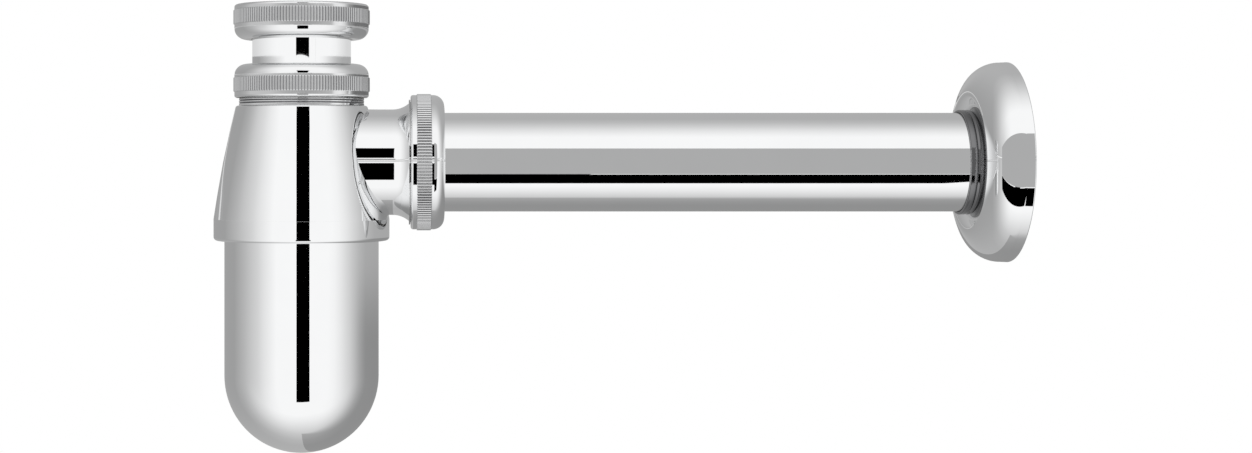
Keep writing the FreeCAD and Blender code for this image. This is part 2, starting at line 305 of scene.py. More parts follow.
def band_rise(first, last, band):
    """None off the knurl's band; on it 1 or -1 where the teeth run out, and 0 between."""
    low, high = band
    heights = (first[1], last[1])
    on_wall = abs(first[0] - nut_r) < SAME and abs(last[0] - nut_r) < SAME
    if not on_wall or min(heights) < low - SAME or max(heights) > high + SAME:
        return None
    if max(heights) < low + knurl_run_out + SAME:
        return 1
    return -1 if min(heights) > high - knurl_run_out - SAME else 0


def turned_mesh(name, segments, place=UPRIGHT, columns=COLUMNS, band=None, outside=0):
    """A closed mesh turned from an outline, with exact normals and, in a band, knurl teeth.

    Faces that look at the axis get the bore's finish, except on the first segments that are named as outside.
    """
    angles = knurl_angles() if band else np.arange(columns) * 2 * math.pi / columns
    count = len(angles)
    cos, sin = np.cos(angles), np.sin(angles)
    around = np.arange(count)
    follow = np.roll(around, -1)
    rings, vertices = [], []
    for r, h, _, _ in segments[:, 0]:
        start = sum(len(block) for block in vertices)
        if r < SAME:
            rings.append(np.full(count, start))
            vertices.append(np.array([[0.0, 0.0, h]]))
            continue
        if band and abs(r - nut_r) < SAME:
            r = r + knurl_relief(h, band, 0)[0]
        rings.append(start + around)
        vertices.append(np.stack([r * cos, r * sin, np.full(count, h)], 1))
    # The faces on either side of each knurl valley get the darker plate: painted shade between the teeth
    groove = np.where(np.isin(around % len(KNURL_COLUMNS), (0, len(KNURL_COLUMNS) - 1)), PAINTED_SHADE, PLATE)
    faces, normals, finishes = [], [], []
    for i, (first, last) in enumerate(segments):
        if first[0] < SAME and last[0] < SAME:
            continue
        rise = band_rise(first, last, band) if band else None
        ends = []
        for r, h, nr, nh in (first, last):
            if rise is None:
                vectors = np.stack([nr * cos, nr * sin, np.full(count, nh)], 1)
            else:
                _, slope_round, slope_along = knurl_relief(h, band, rise)
                vectors = np.stack([cos + slope_round * sin, sin - slope_round * cos, -slope_along], 1)
                vectors /= np.linalg.norm(vectors, axis=1, keepdims=True)
            ends.append(vectors)
        low, high = rings[i], rings[(i + 1) % len(segments)]
        quads = np.stack([low[around], low[follow], high[follow], high[around]], 1)
        corner_normals = np.stack([ends[0][around], ends[0][follow], ends[1][follow], ends[1][around]], 1)
        keep = [1, 2, 3] if first[0] < SAME else [0, 1, 2] if last[0] < SAME else [0, 1, 2, 3]
        faces.extend(quads[:, keep].tolist())
        normals.append(corner_normals[:, keep].reshape(-1, 3))
        if rise is not None:
            finishes.append(groove)
        else:
            faces_axis = i >= outside and first[2] + last[2] < FACES_AXIS
            finishes.append(np.full(count, BORE if faces_axis else PLATE))
    return mesh_from(name, np.concatenate(vertices), faces, place,
                     np.concatenate(normals), np.concatenate(finishes))


def mesh_from(name, vertices, faces, place, normals=None, finishes=None):
    """A Blender mesh from millimetre points in a place of their own."""
    turn = np.array(place.to_3x3())
    points = (vertices @ turn.T + np.array(place.translation)) * MM
    mesh = bpy.data.meshes.new(name)
    mesh.from_pydata(points.tolist(), [], faces)
    mesh.shade_smooth()
    if finishes is not None:
        mesh.polygons.foreach_set("material_index", finishes.astype(np.int32))
    if normals is not None:
        mesh.normals_split_custom_set((normals @ turn.T).tolist())
    mesh.update()
    return mesh


def piece(mesh, body, materials, *nodes):
    """Puts a mesh in the scene as a piece that rides on a body, in place of the CAD nodes it stands for."""
    made = bpy.data.objects.new(mesh.name, mesh)
    bpy.context.scene.collection.objects.link(made)
    for material in materials:
        mesh.materials.append(material)
    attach(made, body)
    if nodes:
        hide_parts(*nodes)
    return made


# Pieces

def inlet_nut(finish):
    """Mouth upwards, with a lip below that carries the tube's collar."""
    foot = inlet_nut_low.z
    floor = foot + nut_lip
    band = (-inlet_nut_margin - knurl_width, -inlet_nut_margin)
    segments = outline([
        (tube_pass_r, foot, nut_lip_edge_r),
        (nut_r, foot, nut_shoulder_r),
        (nut_r, band[0]),
        (nut_r, band[0] + knurl_run_out),
        (nut_r, band[1] - knurl_run_out),
        (nut_r, band[1]),
        (nut_r, 0, nut_corner_r),
        (female_r, 0, thread_lead),
        (female_r, gasket_high.z + gasket_room),
        (gasket_high.x + gasket_room, gasket_high.z + gasket_room),
        (gasket_high.x + gasket_room, floor),
        (tube_pass_r, floor),
    ])
    return piece(turned_mesh("inlet_nut_knurled", segments, band=band), "inlet_nut", finish, "inlet_nut")


def gland_nut(name, place, body, finish, node):
    """Mouth towards the cone, with a lip at the other end that presses on the slip ring."""
    band = (gland_nut_foot + gland_nut_margin, gland_nut_foot + gland_nut_margin + knurl_width)
    segments = outline([
        (tube_pass_r, gland_lip_base),
        (slip_seat_r, gland_lip_base),
        (slip_seat_r, nut_step_gap),
        (female_r, nut_step_gap),
        (female_r, gland_nut_foot, thread_lead),
        (nut_r, gland_nut_foot, nut_corner_r),
        (nut_r, band[0]),
        (nut_r, band[0] + knurl_run_out),
        (nut_r, band[1] - knurl_run_out),
        (nut_r, band[1]),
        (nut_r, gland_nut_top, nut_shoulder_r),
        (tube_pass_r, gland_nut_top, nut_lip_edge_r),
    ])
    return piece(turned_mesh(name, segments, place, band=band), body, finish, node)


def ridge(name, radius, low, high, pitch, height, place, body, finish):
    """A right-handed thread ridge on a male radius or, with a negative height, in a bore."""
    turns = (high - low) / pitch - 1
    steps = round(turns * THREAD_STEPS)
    angles = np.linspace(0, turns * 2 * math.pi, steps + 1)
    rise = low + pitch / 2 + angles / (2 * math.pi) * pitch
    run_in = np.clip(np.minimum(angles, angles[-1] - angles) / RIDGE_RUN_IN, RIDGE_LEAST, 1)
    root = RIDGE_ROOT * pitch
    crest = RIDGE_CREST * pitch
    sunk = -RIDGE_SINK * math.copysign(1, height)
    section = ((sunk, -root), (height, -crest), (height, crest), (sunk, root))
    vertices = []
    for lift, along in section:
        r = radius + np.where(lift == sunk, lift, lift * run_in)
        vertices.append(np.stack([r * np.cos(angles), r * np.sin(angles), rise + along], 1))
    vertices = np.stack(vertices, 1).reshape(-1, 3)
    faces = []
    for k in range(steps):
        for j in range(4):
            a, b = 4 * k + j, 4 * k + (j + 1) % 4
            faces.append((a, a + 4, b + 4, b) if height > 0 else (a, b, b + 4, a + 4))
    last = 4 * steps
    caps = [(0, 1, 2, 3), (last + 3, last + 2, last + 1, last)]
    faces += caps if height > 0 else [cap[::-1] for cap in caps]
    mesh = mesh_from(name, vertices, faces, place)
    mesh.set_sharp_from_angle(angle=RIDGE_SHARP)
    return piece(mesh, body, finish)


def inlet_tube(finish):
    """The dip tube, with its top end turned out into a collar."""
    base = tube_high.z - collar_thickness
    segments = outline([
        (tube_bore_r, tube_low.z, tube_edge),
        (tube_r, tube_low.z, tube_edge),
        (tube_r, base),
        (tube_high.x, base, collar_edge_r),
        (tube_high.x, tube_high.z, collar_edge_r),
        (tube_bore_r, tube_high.z, collar_bend_r),
    ])
    return piece(turned_mesh("dip_tube", segments), "inlet_tube", finish, "inlet_tube")


def inlet_gasket(finish):
    """The flat washer on the tube's collar, with its moulded edges."""
    hole = tube_bore_r + 0.4
    segments = outline([
        (hole, gasket_low.z, gasket_edge_r),
        (gasket_high.x, gasket_low.z, gasket_edge_r),
        (gasket_high.x, gasket_high.z, gasket_edge_r),
        (hole, gasket_high.z, gasket_edge_r),
    ])
    return piece(turned_mesh("flat_gasket", segments), "inlet_tube", finish, "inlet_gasket")


def outlet_pipe(finish):
    """The plain pipe to the wall."""
    segments = outline([
        (tube_bore_r, pipe_low.x, tube_edge),
        (tube_r, pipe_low.x, tube_edge),
        (tube_r, pipe_high.x, tube_edge),
        (tube_bore_r, pipe_high.x, tube_edge),
    ])
    return piece(turned_mesh("wall_pipe", segments, ON_OUTLET_AXIS), "outlet_pipe", finish, "outlet_pipe")


def cup(finish):
    """The bowl with a round bottom, a threaded band and a spigot for the ring."""
    bore_r = cup_r - cup_wall
    quarter = math.pi / 2
    walls = [
        (cup_r, cup_band_foot_z - cup_shoulder),
        (cup_band_r, cup_band_foot_z),
        (cup_band_r, cup_band_top_z),
        (cup_r, cup_band_top_z),
        (cup_r, cup_rim_z),
        (bore_r, cup_rim_z),
    ]
    stretches = [arc((0, cup_dome_z), cup_r, -quarter, 0)]
    stretches += [[(np.array(wall, float), None)] for wall in walls]
    stretches.append(arc((0, cup_dome_z), bore_r, 0, -quarter, -1.0))
    return piece(turned_mesh("bottle_cup", joined(stretches)), "cup", finish, "cup")


def flange_face(offset, rim_h, tip_h):
    """Stretches of one face of the flange's sheet from rim to neck, at an offset into the metal."""
    crown = (flange_crest_r, flange_side_depth)
    crest = (flange_crest_r, flange_side_depth + flange_crown_bend_r - flange_crest_bend_r)
    valley_r = flange_neck_r + flange_valley_bend_r
    reach = flange_crest_bend_r + flange_valley_bend_r
    valley = (valley_r, crest[1] + math.sqrt(reach**2 - (crest[0] - valley_r) ** 2))
    lean = math.atan2(valley[1] - crest[1], valley[0] - crest[0])
    quarter = math.pi / 2
    return [
        [(np.array([flange_rim_r - offset, rim_h]), None)],
        arc(crown, flange_crown_bend_r - offset, 0, quarter),
        arc(crest, flange_crest_bend_r - offset, quarter, lean),
        arc(valley, flange_valley_bend_r + offset, lean - math.pi, -math.pi, -1.0),
        [(np.array([flange_neck_r - offset, tip_h]), None)],
    ]


def wall_flange(finish):
    """Sheet spun into a round cover, with two beads round its neck."""
    quarter = math.pi / 2
    outer = flange_face(0, flange_rim_edge_r, flange_neck_depth)
    inner = flange_face(flange_sheet, 0, flange_neck_depth)
    groove_h = flange_neck_depth - flange_groove_inset
    low, high = groove_h - flange_groove_half, groove_h + flange_groove_half
    bottom = flange_neck_r - flange_groove_cut
    # The first and the last point only give the neck's direction
    neck = [np.array(p) for p in (
        (flange_neck_r, low - overrun),
        (flange_neck_r, low),
        (bottom, groove_h),
        (flange_neck_r, high),
        (flange_neck_r, high + overrun),
    )]
    roundings = (flange_bead_r, flange_groove_bottom_r, flange_bead_r)
    beads = [corner_arc(neck[i], neck[i + 1], neck[i + 2], r) for i, r in enumerate(roundings)]
    tip_centre = (flange_neck_r - flange_tip_edge_r, flange_neck_depth - flange_tip_edge_r)
    tip = arc(tip_centre, flange_tip_edge_r, 0, quarter)
    rim_centre = (flange_rim_r - flange_rim_edge_r, flange_rim_edge_r)
    rim = arc(rim_centre, flange_rim_edge_r, -quarter, 0)
    hollow = [[(p, None if n is None else -n) for p, n in reversed(stretch)] for stretch in reversed(inner)]
    segments = joined([rim, *outer[1:4], *beads, tip, *hollow])
    outside = len(segments) - len(joined(hollow))
    mesh = turned_mesh("spun_flange", segments, AT_WALL, outside=outside)
    # Faces of the neck, its beads and the inner valley get the darker plate: painted shade in place of the dark
    # that the neck mirrors
    middles = np.empty(len(mesh.polygons) * 3)
    mesh.polygons.foreach_get("center", middles)
    middles = middles.reshape(-1, 3) / MM
    out = np.hypot(middles[:, 1], middles[:, 2] - outlet_axis_z)
    used = np.empty(len(mesh.polygons), np.int32)
    mesh.polygons.foreach_get("material_index", used)
    neck = (used == PLATE) & (out < flange_neck_r + flange_valley_bend_r * flange_shade_reach)
    mesh.polygons.foreach_set("material_index", np.where(neck, PAINTED_SHADE, used).astype(np.int32))
    return piece(mesh, "wall_flange", finish, "wall_flange")


# The cast body

def body_solids():
    """Outlines of the casting's outer forms, then of the spaces taken out of it: name, segments, place."""
    edge_top = neck_mouth_z + neck_collar_top
    groove = neck_groove_width / 2
    grooves = []
    for share in neck_groove_shares:
        middle = cone_top_z + neck_collar_height * share
        grooves += [
            (neck_collar_r, middle - groove, neck_groove_edge_r),
            (neck_collar_r - neck_groove_depth, middle, neck_groove_edge_r),
            (neck_collar_r, middle + groove, neck_groove_edge_r),
        ]
    shell = outline([
        (0, skirt_foot_z),
        (skirt_r, skirt_foot_z, skirt_edge_r),
        (skirt_r, cone_foot_z, cone_blend_r),
        ((cone_top_r + skirt_r) / 2 + cone_swell, (cone_top_z + cone_foot_z) / 2, cone_swell_bend_r),
        (cone_top_r, cone_top_z, cone_top_edge_r),
        (neck_collar_r, cone_top_z),
        *grooves,
        (neck_collar_r, edge_top, neck_collar_edge_r),
        (male_r, edge_top),
        (male_r, neck_mouth_z, thread_lead),
        (0, neck_mouth_z),
    ])
    branch = outline([
        (0, branch_root_x - branch_mouth_x),
        (branch_root_r, branch_root_x - branch_mouth_x),
        (branch_r, branch_waist_x - branch_mouth_x, branch_root_bend_r),
        (branch_r, branch_flare_x - branch_mouth_x, branch_flare_bend_r),
        (branch_flare_r, branch_collar_x - branch_mouth_x),
        (neck_collar_r, branch_collar_x - branch_mouth_x),
        (neck_collar_r, neck_collar_top, neck_collar_edge_r),
        (male_r, neck_collar_top),
        (male_r, 0, thread_lead),
        (0, 0),
    ])
    slope = (skirt_r - cone_top_r) / (cone_top_z - cone_foot_z)
    roof_z = cone_top_z - neck_roof
    chamber = outline([
        (0, skirt_foot_z - overrun),
        (skirt_bore_r, skirt_foot_z - overrun),
        (skirt_bore_r, cup_seat_z),
        (cup_seat_r, cup_seat_z),
        (cup_seat_r, chamber_taper_z),
        (cone_top_r + slope * neck_roof - body_wall, roof_z, roof_corner_r),
        (0, roof_z),
    ])
    bores = [
        outline([
            (0, -depth),
            (seat_r, -depth),
            (seat_r, -mouth_depth),
            (mouth_r, 0),
            (mouth_r, overrun),
            (0, overrun),
        ])
        for depth in (neck_mouth_z - roof_z + overrun, branch_mouth_x - pipe_stop_x)
    ]
    passage = outline([
        (0, -branch_mouth_x),
        (passage_r, -branch_mouth_x),
        (passage_r, -overrun),
        (0, -overrun),
    ])
    return [
        ("shell", shell, UPRIGHT, 1),
        ("branch", branch, AT_BRANCH, 1),
        ("chamber", chamber, UPRIGHT, -1),
        ("neck_bore", bores[0], AT_NECK, -1),
        ("branch_bore", bores[1], AT_BRANCH, -1),
        ("passage", passage, AT_BRANCH, -1),
    ]


def nearest_segments(points, normals, segments, place, sign):
    """For each face middle, the outline segment it lies on and how far off it is, with a like normal."""
    back = np.array(place.inverted().to_3x3())
    local = (points - np.array(place.translation)) @ back.T
    facing = normals @ back.T * sign
    radius = np.hypot(local[:, 0], local[:, 1])
    spot = np.stack([radius, local[:, 2]], 1)
    outward = (facing[:, 0] * local[:, 0] + facing[:, 1] * local[:, 1]) / np.maximum(radius, TINY)
    facing = np.stack([outward, facing[:, 2]], 1)
    start, end = segments[:, 0, :2], segments[:, 1, :2]
    along = end - start
    share = np.einsum("fsk,sk->fs", spot[:, None] - start, along) / np.einsum("sk,sk->s", along, along)
    share = np.clip(share, 0, 1)
    foot = start + share[..., None] * along
    off = np.linalg.norm(spot[:, None] - foot, axis=2)
    middle_normal = (segments[:, 0, 2:] + segments[:, 1, 2:]) / 2
    off[facing @ middle_normal.T < LIKE_NORMAL] = OUT_OF_REACH
    best = off.argmin(1)
    return best, off[np.arange(len(best)), best]


def exact_normals(mesh, solids):
    """Gives each face corner the normal of the turned surface that its face lies on."""
    count = len(mesh.polygons)
    middles, facing = np.empty(count * 3), np.empty(count * 3)
    mesh.polygons.foreach_get("center", middles)
    mesh.polygons.foreach_get("normal", facing)
    middles, facing = middles.reshape(-1, 3) / MM, facing.reshape(-1, 3)
    found = [nearest_segments(middles, facing, s, place, sign) for _, s, place, sign in solids]
    owner = np.stack([off for _, off in found]).argmin(0)
    sizes = np.empty(count, int)
    mesh.polygons.foreach_get("loop_total", sizes)
    face_of = np.repeat(np.arange(count), sizes)
    corner = np.empty(len(mesh.loops), int)
    mesh.loops.foreach_get("vertex_index", corner)
    points = np.empty(len(mesh.vertices) * 3)
    mesh.vertices.foreach_get("co", points)
    points = points.reshape(-1, 3)[corner] / MM
    result = facing[face_of]
    for k, (_, segments, place, sign) in enumerate(solids):
        mine = owner[face_of] == k
        local = (points[mine] - np.array(place.translation)) @ np.array(place.inverted().to_3x3()).T
        radius = np.maximum(np.hypot(local[:, 0], local[:, 1]), TINY)
        chosen = segments[found[k][0][face_of[mine]]]
        start, along = chosen[:, 0, :2], chosen[:, 1, :2] - chosen[:, 0, :2]
        spot = np.stack([radius, local[:, 2]], 1)
        share = np.clip(((spot - start) * along).sum(1) / (along * along).sum(1), 0, 1)[:, None]
        flat = chosen[:, 0, 2:] * (1 - share) + chosen[:, 1, 2:] * share
        spread = flat[:, :1] * local[:, :2] / radius[:, None]
        vectors = np.concatenate([spread, flat[:, 1:]], 1) * sign
        vectors /= np.linalg.norm(vectors, axis=1, keepdims=True)
        result[mine] = vectors @ np.array(place.to_3x3()).T
    # Faces sunk in the collar's two grooves get the darker plate: painted shade in the grooves
    out = np.hypot(middles[:, 0], middles[:, 1])
    foot = cone_top_z + neck_groove_margin
    top = neck_mouth_z + neck_collar_top - neck_groove_margin
    sunk = (out < neck_collar_r - neck_groove_skin) & (out > male_r + neck_groove_margin)
    painted_shade_grooves = (owner == 0) & (middles[:, 2] > foot) & (middles[:, 2] < top) & sunk
    finish = np.where(owner > 1, BORE, np.where(painted_shade_grooves, PAINTED_SHADE, PLATE))
    mesh.polygons.foreach_set("material_index", finish.astype(np.int32))
    mesh.shade_smooth()
    mesh.normals_split_custom_set(result.tolist())
    mesh.update()


def trap_body(finish):
    """The casting: outer forms joined, then the chamber, the bores and the passage taken out."""
    solids = body_solids()
    made = []
    for name, segments, place, _ in solids:
        mesh = turned_mesh(name, segments, place)
        made.append(bpy.data.objects.new(name, mesh))
        bpy.context.scene.collection.objects.link(made[-1])
    blank, tools = made[0], made[1:]
    for tool, (_, _, _, sign) in zip(tools, solids[1:]):
        change = blank.modifiers.new(tool.name, "BOOLEAN")
        change.operation = "UNION" if sign > 0 else "DIFFERENCE"
        change.solver = "MANIFOLD"
        change.object = tool
    evaluated = blank.evaluated_get(bpy.context.evaluated_depsgraph_get())
    mesh = bpy.data.meshes.new_from_object(evaluated)
    mesh.name = "cast_body"
    mesh.materials.clear()
    for used in made:
        bpy.data.objects.remove(used)
    exact_normals(mesh, solids)
    return piece(mesh, "trap_body", finish, "trap_body")


# Materials

# Where the noise's range starts and ends for the mottled tone and for the haze
MOTTLE = (0.3, 0.7)
HAZE = (0.35, 0.75)
LEAST_TINT = 0.02
MOULDED_SPREAD = 0.15


def node_material(name, slot):
    """A node material with its shader, and a helper that adds nodes."""
    made = bpy.data.materials.new(name)
    made.use_nodes = True
    made["slot"] = slot
    tree = made.node_tree
    shader = tree.nodes["Principled BSDF"]

    def add(kind, **values):
        node = tree.nodes.new(kind)
        for key, value in values.items():
            if key in node.inputs:
                node.inputs[key].default_value = value
            else:
                setattr(node, key, value)
        return node

    return made, tree, shader, add


def chrome(name, colour, rough, rough_spread, bump, tint=0.0):
    """Plated metal: a clear mirror with faint waves from polishing and a little haze that comes and goes."""
    made, tree, shader, add = node_material(name, "chrome_plate")
    link = tree.links.new
    shader.inputs["Metallic"].default_value = 1.0
    where = add("ShaderNodeTexCoord").outputs["Object"]
    haze = add("ShaderNodeTexNoise", Scale=55.0, Detail=4.0, Roughness=0.6)
    link(where, haze.inputs["Vector"])
    spread = add("ShaderNodeMapRange")
    spread.inputs["From Min"].default_value = HAZE[0]
    spread.inputs["From Max"].default_value = HAZE[1]
    spread.inputs["To Min"].default_value = rough
    spread.inputs["To Max"].default_value = rough + rough_spread
    link(haze.outputs["Fac"], spread.inputs["Value"])
    link(spread.outputs["Result"], shader.inputs["Roughness"])
    tone = add("ShaderNodeValToRGB")
    tone.color_ramp.elements[0].position = MOTTLE[0]
    tone.color_ramp.elements[1].position = MOTTLE[1]
    tone.color_ramp.elements[0].color = (*[c * (1 - LEAST_TINT - tint) for c in colour], 1)
    tone.color_ramp.elements[1].color = (*colour, 1)
    link(haze.outputs["Fac"], tone.inputs["Fac"])
    link(tone.outputs["Color"], shader.inputs["Base Color"])
    waves = add("ShaderNodeTexNoise", Scale=190.0, Detail=2.0)
    link(where, waves.inputs["Vector"])
    relief = add("ShaderNodeBump", Strength=bump, Distance=0.00002)
    link(waves.outputs["Fac"], relief.inputs["Height"])
    link(relief.outputs["Normal"], shader.inputs["Normal"])
    return made


def moulded(name, slot, dark, light, rough, grain, sheen=0.0):
    """A moulded polymer or rubber with a fine grain and mottled tone."""
    made, tree, shader, add = node_material(name, slot)
    link = tree.links.new
    where = add("ShaderNodeTexCoord").outputs["Object"]
    cloud = add("ShaderNodeTexNoise", Scale=420.0, Detail=5.0)
    link(where, cloud.inputs["Vector"])
    tone = add("ShaderNodeValToRGB")
    tone.color_ramp.elements[0].position = MOTTLE[0]
    tone.color_ramp.elements[1].position = MOTTLE[1]
    tone.color_ramp.elements[0].color = (*dark, 1)
    tone.color_ramp.elements[1].color = (*light, 1)
    link(cloud.outputs["Fac"], tone.inputs["Fac"])
    link(tone.outputs["Color"], shader.inputs["Base Color"])
    pores = add("ShaderNodeTexVoronoi", Scale=grain)
    link(where, pores.inputs["Vector"])
    spread = add("ShaderNodeMapRange")
    spread.inputs["To Min"].default_value = rough
    spread.inputs["To Max"].default_value = rough + MOULDED_SPREAD
    link(cloud.outputs["Fac"], spread.inputs["Value"])
    link(spread.outputs["Result"], shader.inputs["Roughness"])
    relief = add("ShaderNodeBump", Strength=0.35, Distance=0.00005)
    link(pores.outputs["Distance"], relief.inputs["Height"])
    link(relief.outputs["Normal"], shader.inputs["Normal"])
    shader.inputs["Sheen Weight"].default_value = sheen
    return made


# Studio

# The camera's place, the radius of the tent and of the rings, and where the strips hang in front
EYE = (30.3, -680.0, -47.6)
FAR = 2500.0
HOOP_R = 2400.0
STRIP_Y = -600.0

# What the plated metal gives back of a card's light, the display's curve, and the white that greys run up to
MIRROR = 0.885
GAMMA = 2.2
WHITE = 255

# Ray Depth is 1 by way of one mirror and 2 by way of two
ONE_MIRROR = 1.5

TENT_ROWS, TENT_COLUMNS = 24, 48
HOOP_COLUMNS = 96
AXIS_GUARD = 1e-6

# A darker corner of the tent, low on the right and behind, that the cup's right side mirrors. It fades in by
# height, as a share of the tent's radius, and by degrees from the front, and this is how dark it gets.
CORNER_DROP = (-0.055, -0.115)
CORNER_TURN = (75, 115)
CORNER_SHADE = 0.33

# The slanted wall in front on the right. It stands upright, so that the body mirrors it edge-on and the pipe
# broadside. The fields are what the pipe mirrors of it, from and to these degrees up from level, as the
# edges of the pipe's bands in the photograph give them.
FAN_SLANT = math.tan(math.radians(35))
FAN_SHIFT = -5.8
FAN_START_X = 46.3
FAN_DEPTH = 690.0
FAN_END_X = FAN_DEPTH * FAN_SLANT
FIELD_GREY = 170
GREY_FIELD = (32.2, -27.4)
BLACK_FIELD = (-28.4, -50.0)

# The floor's radius, place and grey, and the distances at which it fades to white, in metres
FLOOR_R = 0.62
FLOOR_COLUMNS = 96
FLOOR_PLACE = (0.1, 0.0, -0.25)
FLOOR_GREY = 0.86
FLOOR_FADE = (0.22, 0.6)

# The lamp, in metres and watts
LAMP_SIZE = 0.8
LAMP_POWER = 2.0
LAMP_PLACE = (-0.3, -0.5, 0.9)

# The lens: two lengths in millimetres, the shift in sensor widths, and the clip start in metres
SENSOR_WIDTH = 36.0
FOCAL_LENGTH = 60.24
LENS_SHIFT = (0.1845, -0.0595)
CLIP_START = 0.01


def shown(grey):
    """The paint level that shows as this grey, from 0 to 255, in the plated metal."""
    return (grey / WHITE) ** GAMMA / MIRROR


def glow(name, grey, shy=False):
    """Paint for a card: a plain light that the metal mirrors.

    Shy paint lets rays through from behind, and all rays that come by way of a second mirror.
    """
    made = bpy.data.materials.new(name)
    made.use_nodes = True
    made.cycles.emission_sampling = "NONE"
    tree = made.node_tree
    tree.nodes.clear()
    light = tree.nodes.new("ShaderNodeEmission")
    light.name = "Light"
    level = shown(grey)
    light.inputs["Color"].default_value = (level, level, level, 1)
    out = tree.nodes.new("ShaderNodeOutputMaterial")
    clear = tree.nodes.new("ShaderNodeBsdfTransparent")
    mix = tree.nodes.new("ShaderNodeMixShader")
    mix.inputs["Fac"].default_value = 0.0
    tree.links.new(light.outputs["Emission"], mix.inputs[1])
    tree.links.new(clear.outputs["BSDF"], mix.inputs[2])
    tree.links.new(mix.outputs["Shader"], out.inputs["Surface"])
    if shy:
        behind = tree.nodes.new("ShaderNodeNewGeometry").outputs["Backfacing"]
        depth = tree.nodes.new("ShaderNodeLightPath").outputs["Ray Depth"]
        again = calc(tree, "GREATER_THAN", depth, ONE_MIRROR)
        tree.links.new(calc(tree, "MAXIMUM", behind, again), mix.inputs["Fac"])
    return made


def card(name, vertices, faces, material, towards=None):
    """A card that only mirrors see, with its faces turned towards a point."""
    if towards:
        turned = []
        for face in faces:
            a, b, c = (Vector(vertices[k]) for k in face[:3])
            facing = (b - a).cross(c - a).dot(Vector(towards) - a)
            turned.append(face if facing > 0 else face[::-1])
        faces = turned
    mesh = bpy.data.meshes.new(name)
    mesh.from_pydata([(x * MM, y * MM, z * MM) for x, y, z in vertices], [], faces)
    mesh.materials.append(material)
    made = bpy.data.objects.new(name, mesh)
    bpy.context.scene.collection.objects.link(made)
    made.visible_camera = False
    made.visible_diffuse = False
    made.visible_shadow = False
    made.visible_transmission = False
    return made


def calc(tree, operation, *values):
    """A Math node over numbers and sockets."""
    node = tree.nodes.new("ShaderNodeMath")
    node.operation = operation
    for socket, value in zip(node.inputs, values):
        if isinstance(value, (int, float)):
            socket.default_value = value
        else:
            tree.links.new(value, socket)
    return node.outputs["Value"]


def fade(tree, value, start, end):
    """0 before start and 1 after end."""
    node = tree.nodes.new("ShaderNodeMapRange")
    node.interpolation_type = "SMOOTHSTEP"
    node.inputs["From Min"].default_value = start
    node.inputs["From Max"].default_value = end
    tree.links.new(value, node.inputs["Value"])
    return node.outputs["Result"]


def turn_share(degrees):
    """Where an angle lies between -180 degrees, as 0, and 180, as 1."""
    return degrees / 360 + 0.5


def greys(tree, turn, stops):
    """Greys by an angle, which comes as a turn share; the stops are (degrees, grey)."""
    ramp = tree.nodes.new("ShaderNodeValToRGB")
    elements = ramp.color_ramp.elements
    while len(elements) < len(stops):
        elements.new(1.0)
    for element, (degrees, grey) in zip(elements, stops):
        element.position = turn_share(degrees)
        element.color = (*[shown(grey)] * 3, 1)
    tree.links.new(turn, ramp.inputs["Fac"])
    return ramp.outputs["Color"]


def turn_from_front(tree, across, ahead):
    """The angle of a place from the front, as a turn share."""
    angle = calc(tree, "ARCTAN2", across, calc(tree, "MULTIPLY", ahead, -1.0))
    return calc(tree, "ADD", calc(tree, "DIVIDE", angle, 2 * math.pi), 0.5)


def place_of(tree, centre_z):
    """X, Y and the height over centre_z of the place that is lit, in metres."""
    where = tree.nodes.new("ShaderNodeNewGeometry").outputs["Position"]
    split = tree.nodes.new("ShaderNodeSeparateXYZ")
    tree.links.new(where, split.inputs["Vector"])
    return split.outputs["X"], split.outputs["Y"], calc(tree, "SUBTRACT", split.outputs["Z"], centre_z * MM)


# Greys of the tent's sides, of its top and bottom, and of the rings, by degrees from the front; left and
# down are negative. The tent's and the tube's were read from the photograph, along the cup, the pipe and
# the tube, by a measuring script, and the cup's were then adjusted. report.md names this as a breach.
ROUND_GREYS = (
    (-180, 154), (-116, 156), (-103, 168), (-89, 182), (-76, 197), (-65, 209), (-55, 225), (-45, 237),
    (-35, 248), (42, 248), (52, 243), (62, 231), (73, 213), (84, 196), (97, 180), (112, 168), (135, 165),
    (180, 160),
)
LEVEL_GREYS = (
    (-180, 172), (-120, 172), (-105, 180), (-90, 199), (-78, 219), (-66, 237), (-56, 248),
    (60, 248), (66, 242), (78, 226), (90, 208), (105, 186), (120, 173), (180, 172),
)
TUBE_GREYS = (
    (-180, 203), (-160, 207), (-125, 217), (-104, 227), (-87, 236), (-72, 243), (-58, 248),
    (72, 248), (90, 242), (109, 228), (132, 214), (180, 205),
)
NUT_GREYS = (
    (-180, 158), (-125, 160), (-108, 172), (-94, 190), (-51, 190), (-20, 168), (10, 158), (32, 168), (54, 180),
    (61, 226), (72, 234), (80, 216), (90, 150), (105, 110), (140, 105), (165, 112), (180, 130),
)


